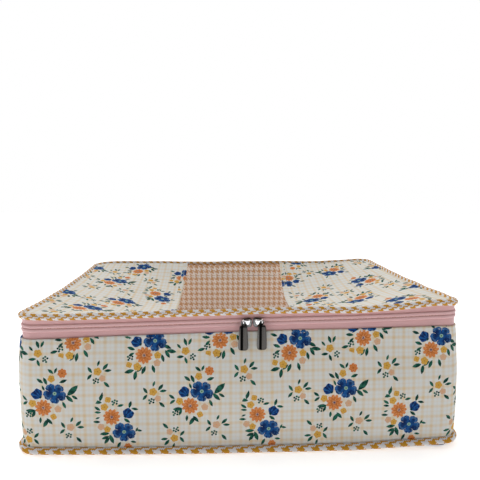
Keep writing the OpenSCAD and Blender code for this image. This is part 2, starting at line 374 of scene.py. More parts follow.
# -------------------- materials
def srgb(r, g, b):
    def one(c):
        c /= 255
        return c / 12.92 if c <= 0.04045 else ((c + 0.055) / 1.055) ** 2.4
    return (one(r), one(g), one(b), 1.0)


class Shade:
    """The node tree of a material, or of the world."""

    def __init__(self, name, owner=None):
        self.owner = owner or bpy.data.materials.new(name)
        self.owner.use_nodes = True
        self.tree = self.owner.node_tree
        self.tree.nodes.clear()
        self.done = None

    def put(self, socket, value):
        if isinstance(value, bpy.types.NodeSocket):
            self.tree.links.new(value, socket)
        elif value is not None:
            socket.default_value = value

    def node(self, kind, *values, named=None, **settings):
        """A node, with values for its first inputs and for some named ones."""
        node = self.tree.nodes.new(kind)
        for key, value in settings.items():
            setattr(node, key, value)
        for socket, value in zip(node.inputs, values):
            self.put(socket, value)
        for key, value in (named or {}).items():
            self.put(node.inputs[key], value)
        return node

    def held(self, vector):
        """The same vector, worked out only after the value in done, so that few values are kept at a time."""
        if self.done is None:
            return vector
        return self.vector("MULTIPLY_ADD", self.join(self.done, self.done), (1e-9, 1e-9, 0), vector)

    def math(self, operation, *values, clamp=False):
        return self.node("ShaderNodeMath", *values, operation=operation, use_clamp=clamp).outputs[0]

    def add(self, a, b):
        return self.math("ADD", a, b)

    def mul(self, a, b, clamp=False):
        return self.math("MULTIPLY", a, b, clamp=clamp)

    def mad(self, a, b, c, clamp=False):
        """a times b, plus c."""
        return self.math("MULTIPLY_ADD", a, b, c, clamp=clamp)

    def below(self, value, limit):
        return self.math("LESS_THAN", value, limit)

    def least(self, a, b):
        return b if a is None else self.math("MINIMUM", a, b)

    def vector(self, operation, *values):
        node = self.node("ShaderNodeVectorMath", *values, operation=operation)
        scalar = operation in ("LENGTH", "DOT_PRODUCT", "DISTANCE")
        return node.outputs["Value" if scalar else "Vector"]

    def split(self, vector):
        return self.vector("DOT_PRODUCT", vector, (1, 0, 0)), self.vector("DOT_PRODUCT", vector, (0, 1, 0))

    def join(self, x, y):
        return self.node("ShaderNodeCombineXYZ", x, y, 0.0).outputs[0]

    def angle(self, x, y):
        return self.math("ARCTAN2", y, x)

    def place(self, vector, spot, turn=0.0, scale=(1, 1)):
        """Coordinates in a frame at spot, turned by turn degrees and stretched by scale."""
        return self.node("ShaderNodeMapping", vector, vector_type="TEXTURE", named={
            "Location": (spot[0], spot[1], 0),
            "Rotation": (0, 0, math.radians(turn)),
            "Scale": (scale[0], scale[1], 1),
        }).outputs[0]

    def between(self, kind, first, output, factor, a, b, **settings):
        """A mix node's output. Its two inputs of the given kind are first and the next one."""
        node = self.node("ShaderNodeMix", data_type=kind, **settings)
        for index, value in ((0, factor), (first, a), (first + 1, b)):
            self.put(node.inputs[index], value)
        return node.outputs[output]

    def mix(self, factor, a, b, blend="MIX"):
        return self.between("RGBA", 6, 2, factor, a, b, blend_type=blend)

    def mix_vector(self, factor, a, b):
        return self.between("VECTOR", 4, 1, factor, a, b)

    def lerp(self, factor, a, b):
        return self.between("FLOAT", 2, 0, factor, a, b)

    def dab(self, color, field, limit, tint):
        """color, with tint over it where field is under limit."""
        return self.mix(self.below(field, limit), color, tint)

    def step(self, value, low, high, start=0.0, end=1.0):
        return self.node("ShaderNodeMapRange", value, interpolation_type="SMOOTHSTEP", named={
            "From Min": low, "From Max": high, "To Min": start, "To Max": end,
        }).outputs[0]

    def noise(self, vector, scale, detail=2.0, roughness=0.5):
        named = {"Scale": scale, "Detail": detail, "Roughness": roughness}
        return self.node("ShaderNodeTexNoise", vector, named=named).outputs[0]

    def cloth(self):
        return self.node("ShaderNodeAttribute", attribute_name="cloth").outputs["Vector"]

    def on_object(self):
        return self.node("ShaderNodeTexCoord").outputs["Object"]

    def bump(self, height, distance, strength=1.0):
        named = {"Strength": strength, "Distance": distance, "Height": height}
        return self.node("ShaderNodeBump", named=named).outputs[0]

    def finish(self, color, roughness=0.8, metallic=0.0, normal=None, sheen=0.0, specular=0.5, painted_glow_through=0.0, glow=0.0):
        named = {"Base Color": color, "Roughness": roughness, "Metallic": metallic, "Specular IOR Level": specular,
                 "Sheen Weight": sheen, "Normal": normal}
        if painted_glow_through:
            # painted light: the cloth glows, as if daylight came through the thin cloth from its other side, more of it
            # higher up
            depth = self.split(self.cloth())[1]
            named["Emission Color"] = self.mix(self.step(depth, 135.0, -10.0), (0, 0, 0, 1), color)
            named["Emission Strength"] = painted_glow_through
        if glow:
            named["Emission Color"] = (1, 1, 1, 1)
            named["Emission Strength"] = glow
        bsdf = self.node("ShaderNodeBsdfPrincipled", named=named)
        self.node("ShaderNodeOutputMaterial", bsdf.outputs[0])
        return self.owner


TILE = 138.7
PRINT_ANCHOR = (-177.8, 54.5)
# Bouquets in one tile: across, down, turn in degrees, layout
BOUQUETS = ((0, 0, 0, 0), (94.4, -48.2, 0, 1), (64.3, 39.3, 0, 2), (24, -63.2, -15, 1))
# Sprigs in one tile: across, down, turn, second flower, peach first
SPRIGS = ((-15.5, -38.2, -60, 0, 0), (40.4, -20.4, 0, 1, 0), (92.3, 0.3, 0, 1, 0), (13.9, 33.5, 5, 0, 1),
          (-26.5, 46.6, 180, 1, 0))
# Leaves of each layout: across, down, direction, half length
LEAVES = (
    ((-13.8, -12.1, 37, 3.3), (-8.8, -11.9, 65, 3.5), (-3.6, -21, 38, 3.1), (1, -21.8, -65, 2.6),
     (8.2, -11.7, -20, 3.3), (-10.8, -5.1, 65, 2.5), (16.9, -2.7, -44, 6.2), (13.8, 5.1, 43, 4.2), (18.9, 3.8, 32, 3),
     (8.7, 11.2, 66, 3.2), (-28.6, 5.4, 37, 3.1), (-28, 10.2, -38, 3), (-22.9, 17.3, -4, 4.2), (-20.5, 20.5, -65, 3),
     (-14.4, 26.3, -85, 2.8), (-9.4, 29.2, -58, 4.3), (-5.8, 27.4, 50, 3.6)),
    ((-22.6, 6.8, 200, 3.4), (11.4, 5.8, 25, 3.8), (15.4, 10, 10, 4.2), (11.6, 12.6, 60, 3.8), (7.2, 16.4, 75, 3.4),
     (-1.6, 26.4, 75, 3.6), (-10.8, 27.4, 115, 3.8), (-14.6, 26.6, 140, 3.2), (-24.4, 28.4, 165, 4.2),
     (-18.8, 32.4, 100, 4), (-8.6, -10.4, 60, 3.2), (-25.4, -3.6, 20, 3.2), (-22.4, 12.4, -30, 2.8),
     (6.2, -12.2, -60, 3)),
    ((-20.8, -35.7, -75, 4), (-24.4, -30.6, 8, 3.8), (-24.4, -24.3, 35, 3), (-24.1, -20.6, 5, 2.7),
     (-24.4, -14.8, -20, 2), (-25.3, -11, 2, 3), (-2.8, -26.6, -13, 2.8), (6.3, -27.4, -74, 3.2),
     (10.7, -22.9, 12, 2.9), (3, -11.5, 37, 3.2), (12, -2, -63, 2.2), (14.4, -1.1, 10, 2.5), (-18.4, 1.3, -4, 4),
     (-17.8, 5.4, -20, 3.5), (-12, 7, 70, 4.4), (-16.6, 8.5, -55, 3.7), (8.7, 10.4, 8, 2.5), (-5.2, 13.2, 120, 3.1)),
)
SPRIG_LEAVES = ((0.8, -7.7, -70, 2.5), (7.2, -4.3, -50, 3.4), (9.6, -0.7, -5, 3), (-7.2, -1.6, 55, 3.1),
                (-7.6, 4.9, -50, 3), (8.4, 12.5, 45, 3.3))
# The middle of each layout's berry cluster, and the berries of a cluster
BERRIES = ((-25.3, 21.4), (-23.6, 15.6), (-8.2, -29.7))
SPRIG_BERRIES = (-1.6, 8.9)
BERRY_RING = ((0.2, -2.1), (2.2, -1.2), (1.9, 1.2), (-0.4, 0.2), (-2.1, -1), (-1.6, 1.9))
LEAF_SCALE = 1.16
HELD_LEAVES = 6  # leaves worked out before the next wait, see Shade.held


def petal_wave(s, angle, petals, turn):
    """1 along the middle of each petal, 0 between petals."""
    return s.math("ABSOLUTE", s.math("COSINE", s.mad(angle, petals / 2, math.radians(turn))))


def flower(s, local, petals, depth, turn=0.0, power=0.5):
    """Distance from a flower's middle, 1 at its wavy edge, and the wave itself."""
    wave = petal_wave(s, s.angle(*s.split(local)), petals, turn)
    edge = s.mad(s.math("POWER", wave, power), depth, 1 - depth)
    return s.math("DIVIDE", s.vector("LENGTH", local), edge), wave


def leaf_field(s, vector, spot, turn, length, width=0.39):
    """Under 1 inside a pointed leaf."""
    x, y = s.split(s.place(vector, spot, turn, (length, length * width)))
    return s.mad(x, x, s.math("ABSOLUTE", y))


def spray(s, vector, leaves):
    """The smallest leaf field of a layout's leaves."""
    field = None
    for k, (x, y, turn, length) in enumerate(leaves):
        if k % HELD_LEAVES == 0:
            vector = s.held(vector)
        field = s.least(field, leaf_field(s, vector, (x, y), turn, length * LEAF_SCALE))
        s.done = field
    return field


def far_if(s, vector, flag):
    """vector, or a place far away where flag is 1."""
    return s.vector("MULTIPLY_ADD", s.join(flag, flag), (500, 500, 0), vector)


BLUE = srgb(30, 92, 162)
BLUE_DARK = srgb(12, 42, 92)
BLUE_LIGHT = srgb(92, 140, 190)
ORANGE = srgb(222, 136, 74)
ORANGE_DARK = srgb(172, 80, 34)
ORANGE_LIGHT = srgb(236, 164, 104)
YELLOW = srgb(224, 174, 80)
YELLOW_DARK = srgb(186, 126, 48)
PEACH = srgb(222, 184, 152)
GREEN = srgb(40, 106, 86)
GREEN_DARK = srgb(18, 62, 56)
CREAM = srgb(238, 236, 226)
YELLOWS, PEACHES, ORANGES = (YELLOW, YELLOW_DARK), (PEACH, ORANGE_LIGHT), (ORANGE, ORANGE_DARK)
# Small flowers of each layout: across, down, radius, tones, petals
SMALL_FLOWERS = (
    ((-3, -14.1, 3.6, YELLOWS, 5), (-21.1, 9.7, 3.6, YELLOWS, 5), (2.8, 15.2, 3.6, PEACHES, 5),
     (-1.8, 22.8, 3.2, YELLOWS, 4), (7.2, -19.2, 4.4, ORANGES, 7)),
    ((2.4, 13.6, 3.5, YELLOWS, 5), (1.9, 20.7, 3.5, PEACHES, 5), (-16.8, 24, 3.9, YELLOWS, 5),
     (-24.6, 22.2, 3, YELLOWS, 4)),
    ((-17.8, -25.6, 3.7, YELLOWS, 5), (-14.4, -32.6, 3.1, YELLOWS, 4), (-15.7, -3.1, 3.4, YELLOWS, 5),
     (-21.4, -5.8, 3.5, PEACHES, 5), (3.3, 15.5, 3.9, ORANGES, 7)),
)
# The one ragged flower and the one bud (across, down, turn) of each layout
RAGGED_FLOWERS = ((-11.1, 14.1), (-10.5, 13.4), (-11.2, -15.5))
BUDS = ((-12.9, 4.3, 223), (-12.9, 3.6, 215), (0.6, -14.8, -45))


def nearest(s, cloth, spots):
    """Local coordinates of the nearest of several repeated motifs, and its own extra values."""
    best = None
    for x, y, turn, *own in spots:
        moved = s.vector("SUBTRACT", cloth, (PRINT_ANCHOR[0] + x, PRINT_ANCHOR[1] + y, 0))
        wrapped = s.vector("WRAP", moved, (TILE / 2, TILE / 2, 1), (-TILE / 2, -TILE / 2, -1))
        turned = s.place(wrapped, (0, 0), turn)
        length = s.vector("LENGTH", wrapped)
        if best is None:
            best, local, extras = length, turned, own
            continue
        closer = s.below(length, best)
        local = s.mix_vector(closer, local, turned)
        extras = [a if a == b else s.lerp(closer, a, b) for a, b in zip(extras, own)]
        best = s.least(best, length)
    return local, extras


def berries(s, vectors, middles):
    """Under 1 inside the berries."""
    field = None
    for vector, (x, y) in zip(vectors, middles):
        vector = s.held(vector)
        for bx, by in BERRY_RING:
            field = s.least(field, s.vector("DISTANCE", vector, (x + bx, y + by, 0)))
        s.done = field
    return field


def small_flower(s, color, vector, spot, radius, tones, petals=5):
    """A plain little flower: petals parted by thin darker lines."""
    rho, wave = flower(s, s.place(s.held(vector), spot, 0, (radius, radius)), petals, 0.3, spot[0] * 20)
    s.done = rho
    color = s.dab(color, rho, 1.0, s.mix(s.mul(s.step(wave, 0.35, 0.0), 0.8), *tones))
    return s.mix(s.mul(s.below(rho, 0.2), 0.7), color, tones[1])


def ragged_flower(s, color, vector, spot, radius, ragged):
    """The orange flower of many narrow petals."""
    vector = s.held(vector)
    rho, wave = flower(s, s.place(vector, spot, 0, (radius, radius)), 11, 0.32, 20, 0.55)
    rho = s.add(rho, ragged)
    s.done = rho
    tone = s.mix(s.mul(s.step(rho, 0.75, 0.15), 0.6), ORANGE, ORANGE_DARK)
    tone = s.mix(s.mul(s.step(s.noise(vector, 0.55), 0.45, 0.62), 0.6), tone, ORANGE_LIGHT)
    tone = s.mix(s.mul(s.step(wave, 0.42, 0.0), 0.9), tone, ORANGE_DARK)
    color = s.dab(color, rho, 1.0, tone)
    color = s.dab(color, rho, 0.22, srgb(206, 170, 146))
    return s.dab(color, rho, 0.13, srgb(104, 84, 100))


def bud(s, color, vector, spot, turn, radius, ragged):
    """A half open blue bud, fanning out from its stalk."""
    vector = s.held(vector)
    local = s.place(vector, spot, turn, (radius, radius))
    x, y = s.split(local)
    angle = s.angle(x, y)
    fan = s.math("MAXIMUM", s.math("COSINE", s.mul(angle, 1.45)), 0.001)
    fan = s.mul(s.math("POWER", fan, 0.3), s.math("GREATER_THAN", x, 0.0))
    scallop = s.mul(s.math("COSINE", s.mul(angle, 9.0)), 0.05)
    rho = s.math("DIVIDE", s.vector("LENGTH", local), s.add(fan, 0.001))
    rho = s.add(rho, s.add(scallop, ragged))
    s.done = rho
    streak = s.math("SINE", s.mul(angle, 14.0))
    tone = s.mix(s.step(s.mad(streak, 0.12, s.noise(vector, 0.3)), 0.4, 0.62), BLUE_DARK, BLUE)
    return s.dab(s.dab(color, rho, 1.0, tone), rho, 0.2, GREEN_DARK)


def blue_flower(s, color, local, ragged):
    """Five broad notched petals."""
    local = s.held(local)
    angle = s.angle(*s.split(local))
    wave = petal_wave(s, angle, 5, 128)
    edge = s.mad(s.math("POWER", wave, 0.5), 0.34, 0.68)
    edge = s.add(edge, s.mul(s.math("SINE", s.mad(angle, 2.0, 0.9)), 0.06))
    edge = s.math("SUBTRACT", edge, s.mul(s.math("POWER", wave, 24.0), 0.055))
    far = s.vector("LENGTH", s.vector("DIVIDE", local, (10.6, 10.2, 1)))
    rho = s.add(s.math("DIVIDE", far, edge), s.mul(ragged, 0.4))
    shade = s.noise(s.vector("ADD", local, (31, 17, 0)), 0.11)
    streak = s.math("SINE", s.mul(angle, 27.0))
    tone = s.mix(s.step(s.mad(streak, 0.05, shade), 0.4, 0.6), BLUE_DARK, BLUE)
    rim = s.mul(s.step(rho, 0.6, 0.8), s.step(s.noise(local, 0.4), 0.45, 0.6))
    tone = s.mix(s.mul(rim, 0.55), tone, BLUE_LIGHT)
    tone = s.mix(s.step(wave, 0.34, 0.04), tone, BLUE_DARK)
    color = s.dab(color, rho, 1.0, tone)
    parting = s.mul(s.below(wave, 0.05), s.step(rho, 0.66, 0.8))
    color = s.mix(s.mul(parting, s.below(rho, 1.0)), color, CREAM)
    color = s.dab(color, far, 0.17, srgb(150, 190, 170))
    return s.dab(color, far, 0.07, srgb(84, 120, 96))


def plaid(s, cloth):
    """A soft tan plaid of bold lines with thin ones between them."""
    pitch = TILE / 14
    x, y = s.split(cloth)
    lines = [s.math("PINGPONG", s.add(value, shift), pitch / 2) for value, shift in ((x, 1.7), (y, 2.9))]
    bold = s.mul(s.add(*(s.step(line, 2.6, 0.2) for line in lines)), 0.46)
    thin = s.mul(s.add(*(s.step(line, pitch / 2 - 1.4, pitch / 2 - 0.2) for line in lines)), 0.16)
    strength = s.mul(s.add(bold, thin), s.mad(s.noise(cloth, 0.055), 1.3, 0.3))
    return s.mix(s.mul(strength, 1.0, clamp=True), srgb(233, 234, 232), srgb(230, 206, 164))


def print_color(s, cloth):
    """Bouquets and sprigs on the plaid."""
    color = plaid(s, cloth)
    ragged = s.mad(s.noise(cloth, 0.8), 0.5, -0.25)
    rough_edge = s.mul(ragged, 0.5)

    # sprigs
    local, (second, peach) = nearest(s, cloth, SPRIGS)
    field = spray(s, local, SPRIG_LEAVES)
    leaf_tone = s.mix(s.step(s.noise(cloth, 0.25, 1.0), 0.35, 0.65), GREEN_DARK, GREEN)
    color = s.dab(color, s.add(field, rough_edge), 0.98, leaf_tone)
    color = s.dab(color, berries(s, (local,), (SPRIG_BERRIES,)), 1.0, leaf_tone)
    tones = s.mix(peach, YELLOW, PEACH), s.mix(peach, YELLOW_DARK, ORANGE_LIGHT)
    other = far_if(s, local, s.math("SUBTRACT", 1.0, second))
    color = small_flower(s, color, other, (4.5, 6.5), 3.2, PEACHES)
    color = small_flower(s, color, local, (0, 0), 3.9, tones)

    # bouquets
    local, (kind,) = nearest(s, cloth, BOUQUETS)
    layouts = []
    for k in range(3):
        other_kind = s.math("GREATER_THAN", s.vector("DISTANCE", s.join(kind, 0.0), (k, 0, 0)), 0.5)
        layouts.append(far_if(s, local, other_kind))
    field = None
    for vector, leaves in zip(layouts, LEAVES):
        field = s.least(field, spray(s, vector, leaves))
    color = s.dab(color, s.add(field, rough_edge), 0.98, leaf_tone)
    color = s.dab(color, berries(s, layouts, BERRIES), 1.0, leaf_tone)
    for vector, flowers in zip(layouts, SMALL_FLOWERS):
        for x, y, radius, tones, petals in flowers:
            color = small_flower(s, color, vector, (x, y), radius, tones, petals)
    for vector, spot in zip(layouts, RAGGED_FLOWERS):
        color = ragged_flower(s, color, vector, spot, 8.0, s.mul(ragged, 0.7))
    for vector, (x, y, turn) in zip(layouts, BUDS):
        color = bud(s, color, vector, (x, y), turn, 10.0, s.mul(ragged, 0.3))
    return blue_flower(s, color, local, ragged)


def weave_height(s, cloth, pitch):
    """Over and under of plain woven threads."""
    a, b = (s.math("SINE", s.mul(value, 2 * math.pi / pitch)) for value in s.split(cloth))
    return s.mad(a, b, s.mul(s.noise(cloth, 3.0), 0.8))


def printed_fabric():
    s = Shade("printed_fabric")
    cloth = s.cloth()
    color = print_color(s, cloth)
    shade = s.mad(s.noise(cloth, 0.02, 3.0), 0.16, -0.03, clamp=True)
    color = s.mix(shade, color, srgb(196, 190, 178), "MULTIPLY")
    height = s.mad(s.noise(cloth, 0.12), 2.2, weave_height(s, cloth, 0.62))
    return s.finish(color, 0.85, normal=s.bump(height, 0.00012, 0.6), sheen=0.03, specular=0.12)


def houndstooth(name, unit, turn, dark, light, rough=0.85, painted_glow_through=0.0):
    """A woven check, unit millimetres to a repeat of eight threads, with an optional painted glow as if light came
    through the cloth.
    """
    s = Shade(name)
    cloth = s.cloth()
    thread = s.vector("FLOOR", s.place(cloth, (0, 0), turn, (unit / 8, unit / 8)))
    i, j = s.split(thread)
    warp, weft = (s.below(s.math("FLOORED_MODULO", value, 8.0), 4.0) for value in (i, j))
    over = s.below(s.math("FLOORED_MODULO", s.add(i, j), 4.0), 2.0)
    color = s.mix(s.lerp(over, weft, warp), light, dark)
    color = s.mix(s.mul(s.noise(cloth, 0.4, 3.0), 0.16), color, srgb(205, 190, 165), "MULTIPLY")
    height = s.mad(s.noise(cloth, 0.25), 1.5, weave_height(s, cloth, 0.5))
    return s.finish(color, rough, normal=s.bump(height, 0.0001, 0.7), sheen=0.03, specular=0.15, painted_glow_through=painted_glow_through)


def ribbed(name, rib_of, light, dark, shares, roughness, grain, relief, wear=None, **rest):
    """A pink surface with fine ribs, rib_of giving their phase from the place on the cloth."""
    s = Shade(name)
    cloth = s.cloth()
    rib = s.math("SINE", rib_of(s, *s.split(cloth)))
    color = s.mix(s.mad(rib, *shares), light, dark)
    if wear:
        color = s.mix(s.mul(s.noise(cloth, 0.05, 3.0), 0.25), color, wear, "MULTIPLY")
    height = s.mad(rib, relief[0], s.noise(cloth, grain))
    return s.finish(color, roughness, normal=s.bump(height, relief[1], 0.6), **rest)


def film():
    s = Shade("clear_film")
    cloth = s.cloth()
    height = s.noise(cloth, 0.03, 3.0, 0.55)
    normal = s.bump(s.mad(s.noise(cloth, 0.6), 0.05, height), 0.002, 0.5)
    clear = s.node("ShaderNodeBsdfTransparent", (0.972, 0.966, 0.96, 1))
    gloss = s.node("ShaderNodeBsdfPrincipled", named={
        "Base Color": (0.55, 0.52, 0.5, 1), "Roughness": 0.16, "Specular IOR Level": 0.6, "Normal": normal})
    haze = s.mul(s.noise(cloth, 0.02, 3.0), 0.04)
    factor = s.mad(s.node("ShaderNodeFresnel", 1.45).outputs[0], 0.1, haze, clamp=True)
    mixed = s.node("ShaderNodeMixShader", factor, clear.outputs[0], gloss.outputs[0])
    s.node("ShaderNodeOutputMaterial", mixed.outputs[0])
    return s.owner


def bright_metal():
    """Plated metal with painted shade, dark in its recesses and bright where it stands out, and patches of painted
    reflection. The cloth values are local millimetres.
    """
    s = Shade("slider_metal")
    x, out = s.split(s.cloth())
    place = s.on_object()
    painted_reflection_and_rough_patches = s.noise(place, 420.0)
    # painted shade in the recesses and patches of painted reflection; the same patches also vary the roughness
    painted_lit = s.step(s.mad(painted_reflection_and_rough_patches, 1.2, out), 1.6, 3.2)
    tone = s.mix(painted_lit, (0.12, 0.12, 0.12, 1), (0.95, 0.95, 0.96, 1))
    return s.finish(tone, s.mad(painted_reflection_and_rough_patches, 0.12, 0.08), 1.0, s.bump(s.noise(place, 1800.0), 0.00001, 0.2))


def dark_metal():
    """Black nickel with painted reflections: a dark stripe down it between lighter bands, browner to one side. The
    cloth values are local millimetres.
    """
    s = Shade("pull_metal")
    x, y = s.split(s.cloth())
    place = s.on_object()
    # painted reflections: bands of tone across the pull, darker at both edges, with a near-black stripe down it
    tone = s.mix(s.step(x, -3.0, -3.9), (0.08, 0.075, 0.071, 1), (0.17, 0.165, 0.16, 1))
    painted_reflection_stripe = s.mul(s.step(x, -3.0, -2.4), s.step(x, 0.1, -0.5))
    tone = s.mix(painted_reflection_stripe, tone, (0.0015, 0.0015, 0.0015, 1))
    tone = s.mix(s.mul(s.step(x, 2.6, 4.2), 0.7), tone, (0.09, 0.088, 0.085, 1))
    rough = s.mad(s.noise(place, 300.0), 0.14, 0.14)
    return s.finish(tone, rough, 1.0, s.bump(s.noise(place, 900.0), 0.00001, 0.2), specular=0.3)


def thread(name, color, dark):
    s = Shade(name)
    twist = s.noise(s.on_object(), 3200.0)
    return s.finish(s.mix(twist, color, dark), 0.6, normal=s.bump(twist, 0.00005, 0.6), sheen=0.2)


def board():
    s = Shade("board")
    fibre = s.noise(s.vector("MULTIPLY", s.on_object(), (1, 3, 1)), 500.0, 4.0)
    return s.finish(s.mix(fibre, srgb(150, 142, 125), srgb(186, 178, 160)), 0.9, normal=s.bump(fibre, 0.0001, 0.5))


def cord_cotton():
    s = Shade("filler_cord")
    twist = s.node("ShaderNodeTexWave", s.on_object(), wave_type="BANDS", bands_direction="DIAGONAL").outputs[1]
    return s.finish(s.mix(twist, srgb(236, 232, 220), srgb(205, 199, 184)), 0.9, sheen=0.2)


PRINT = printed_fabric()
# the lining is given painted light: it glows, as if daylight came through the thin cloth
LINING = houndstooth("lining", 8.3, 0, srgb(194, 148, 96), srgb(232, 226, 220), painted_glow_through=0.4)
LID_PIPING = houndstooth("lid_piping_fabric", 7.4, 45, srgb(206, 150, 52), srgb(238, 236, 238), 0.8)
PIPING = houndstooth("piping_fabric", 10.3, 45, srgb(210, 152, 48), srgb(238, 236, 238), 0.8)
TAPE = ribbed("zip_tape", lambda s, x, y: s.mul(s.add(x, s.math("PINGPONG", y, 0.9)), 2 * math.pi / 0.9),
              srgb(232, 188, 188), srgb(209, 158, 160), (0.12, 0.3), 0.55, 1.4, (0.6, 0.00012), srgb(226, 176, 176),
              sheen=0.25, specular=0.4)
COIL = ribbed("zip_coil", lambda s, x, y: s.mad(x, 2 * math.pi / COIL_PITCH, s.mul(y, 1.5)),
              srgb(232, 190, 190), srgb(206, 155, 157), (0.2, 0.35), 0.42, 2.2, (0.5, 0.00016), sheen=0.1)
FILM = film()
CHROME = bright_metal()
GUNMETAL = dark_metal()
THREAD = thread("stitch_thread", srgb(246, 244, 238), srgb(214, 210, 200))
PINK_THREAD = thread("zip_thread", srgb(240, 186, 188), srgb(206, 146, 150))
BOARD = board()
CORD = cord_cotton()


# -------------------- walls
def wall_rows(count, top, foot, out=0.0, wrinkle=1.0):
    """Rows of cloth from the foot of the wall up towards its top edge, as heights t of 0 to 1."""

    def row(t):
        def height(s):
            start = foot + foot_lift(s)
            return start + t * (top(s) - start)

        def offset(s, z):
            down = top(s) - z
            pucker = 0.22 * np.sin(2 * math.pi * s / 11.0 + 2 * np.sin(s / 60)) * (1 - smoothstep(0, 9, down))
            soft = (0.75 * ripple(s, z, 120, 11) + 0.22 * ripple(s, z, 34, 12)) * smoothstep(0, 30, down)
            soft = soft * smoothstep(foot, foot + 12, z)
            return swell(s, z) + out + wrinkle * (pucker + soft - 0.45 * hump(down, STITCH_DROP, 0.9))

        return height, offset, lambda s, z: print_line(s) - z

    return [row(t) for t in np.linspace(0, 1, count)[:-1] ** 0.85], row(1.0)


def outer_levels():
    """The outer cloth, its top edge turned over to the inside."""
    roll = 0.6
    levels, _ = wall_rows(40, top_line, WALL_FOOT)
    for angle in (20, 60, 100, 140, 180):
        a = math.radians(angle)
        levels.append((
            lambda s, a=a: top_line(s) - roll + roll * math.sin(a),
            lambda s, z, a=a: swell(s, top_line(s)) - roll + roll * math.cos(a),
            lambda s, z, a=a: print_line(s) - top_line(s) - roll * a,
        ))
    for drop in (2.0, 4.0):
        levels.append((
            lambda s, drop=drop: top_line(s) - roll - drop,
            lambda s, z: swell(s, z) - 1.25,
            lambda s, z, drop=drop: print_line(s) - top_line(s) - 2.0 - drop,
        ))
    return levels


def lining_levels():
    levels, last = wall_rows(30, lambda s: top_line(s) - LINING_DROP, LINING_FOOT, -LINING_IN, 0.35)
    return levels + [last]


ZIPPED, BACK = (0, WALL_RUN), (WALL_RUN, LOOP_RUN)
for name, node, span, run in (("gusset", "side_gusset", ZIPPED, 0.9785), ("back", "back_panel", BACK, 0.4505)):
    outer = wall_band(f"{name}_cloth", span, outer_levels(), PRINT, "tub", WALL_CLOTH)
    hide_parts(node)
    lining = wall_band(f"{name}_lining_cloth", span, lining_levels(), LINING, "tub", LINING_CLOTH)
    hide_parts(f"{name}_lining")


# -------------------- base
def whole_plan(name, inset, low, material, thickness, height):
    """A sheet over the whole plan, its closed side below."""
    left, right = (lambda y, side=side: side * lid_edge(y, inset) for side in (-1, 1))
    return plan_sheet(name, left, right, low, material, "tub", thickness, -1.0, 60, 80, inset, height)


base = whole_plan("base_cloth", 0.5, BASE_UP, PRINT, 0.9, lambda x, y: -0.25 * hump(np.abs(y), 150, 6))
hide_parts("base_panel")

base_lining = whole_plan("base_lining_cloth", 1.5, BASE_LINING_UP, LINING, LINING_CLOTH,
                         lambda x, y: 0.25 * ripple(x, y, 70, 21))
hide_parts("base_lining")


# -------------------- piping
def edge_z(offset, share=0.2):
    """A height that follows the upper edge, with a share of its waves."""

    def height(s):
        x, y, nx, ny = outline(s)
        return offset + rise(x, y) + share * sway(x, y)

    return height


def base_pipe_out(s):
    return BASE_PIPE_OUT + swell(s, 0 * s + 8.0)


def base_pipe_z(s):
    return BASE_PIPE_Z + foot_lift(s) + 0.15 * ripple(s, 0 * s, 40, 36, 5)


def lid_pipe_out(s):
    x, y, nx, ny = outline(s)
    return LID_PIPE_OUT - 2.4 * np.abs(nx * ny) + 0.25 * ripple(s, 0 * s, 70, 34, 5)


def lid_pipe_z(s):
    return edge_z(LID_Z, 1.0)(s) + 0.25 * ripple(s, 0 * s, 60, 33, 5)


for name, body, out, height, radius, fabric, seed in (
    ("base", "tub", base_pipe_out, base_pipe_z, PIPE_R * 0.98, PIPING, 31),
    ("lid", "lid", lid_pipe_out, lid_pipe_z, PIPE_R - 0.35, LID_PIPING, 32),
):
    cover = tube(f"{name}_piping_cloth", out, height, radius, fabric, body, 0.03, seed)
    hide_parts(f"{name}_piping")
    filler = tube(f"{name}_piping_filler", out, height, FILLER_R, CORD, body)
    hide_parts(f"{name}_piping_cord")


# -------------------- zip and hinge
def band_levels(rows, low, high, shares, out, belly=0.0, print_at=None):
    """Rows of a narrow band that bellies outwards. print_at is the print's place at the lowest row."""
    levels = []
    for t in np.linspace(0, 1, rows):
        z = low + t * (high - low)
        share = shares[0] + t * (shares[1] - shares[0])
        down = -z if print_at is None else print_at - t * (high - low)
        levels.append((edge_z(z, share), out + belly * math.sin(math.pi * t), down))
    return levels


for name, body, levels, flat in (
    ("lower", "tub", band_levels(12, *LOWER_TAPE, (0.2, 0.2), -1.62), 0.015),
    ("upper", "lid", band_levels(11, *UPPER_TAPE, (0.2, 1.0), -1.9, 0.25), 0.0102),
):
    tape = wall_band(f"{name}_tape_cloth", ZIPPED, levels, TAPE, body, TAPE_CLOTH, 0.0)
    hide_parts(f"{name}_zip_tape")


def coil(name, middle, body):
    """Half of the closed chain: a bead with a slight rib for each coil."""
    half_wide, half_high, out, sides = 1.05, 1.84, -1.45, 12
    count = int(WALL_RUN / COIL_PITCH) * 4
    s = np.linspace(0.3, WALL_RUN - 0.3, count)
    z = edge_z(middle)(s)
    rib = 1.0 + 0.045 * np.cos(2 * math.pi * s / COIL_PITCH)
    points = np.zeros((count, sides, 3))
    cloth = np.zeros((count, sides, 2))
    for j in range(sides):
        a = 2 * math.pi * j / sides
        points[:, j] = beside(s, out + half_wide * rib * math.cos(a), z + half_high * rib * math.sin(a))
        cloth[:, j] = np.stack([s, 0 * s + 1.2 * a], 1)
    caps = [tuple(range(sides))[::-1], tuple((count - 1) * sides + k for k in range(sides))]
    faces = list(grid_faces(count, sides, wrap_columns=True)) + caps
    obj = add_mesh(f"{name}_coil", points, faces, COIL, body, cloth)
    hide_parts(f"{name}_zip_coil")


coil("lower", CHAIN_Z - COIL_OFF, "tub")
coil("upper", CHAIN_Z + COIL_OFF, "lid")


def directions(ahead):
    return ahead / np.linalg.norm(ahead, axis=1)[:, None]


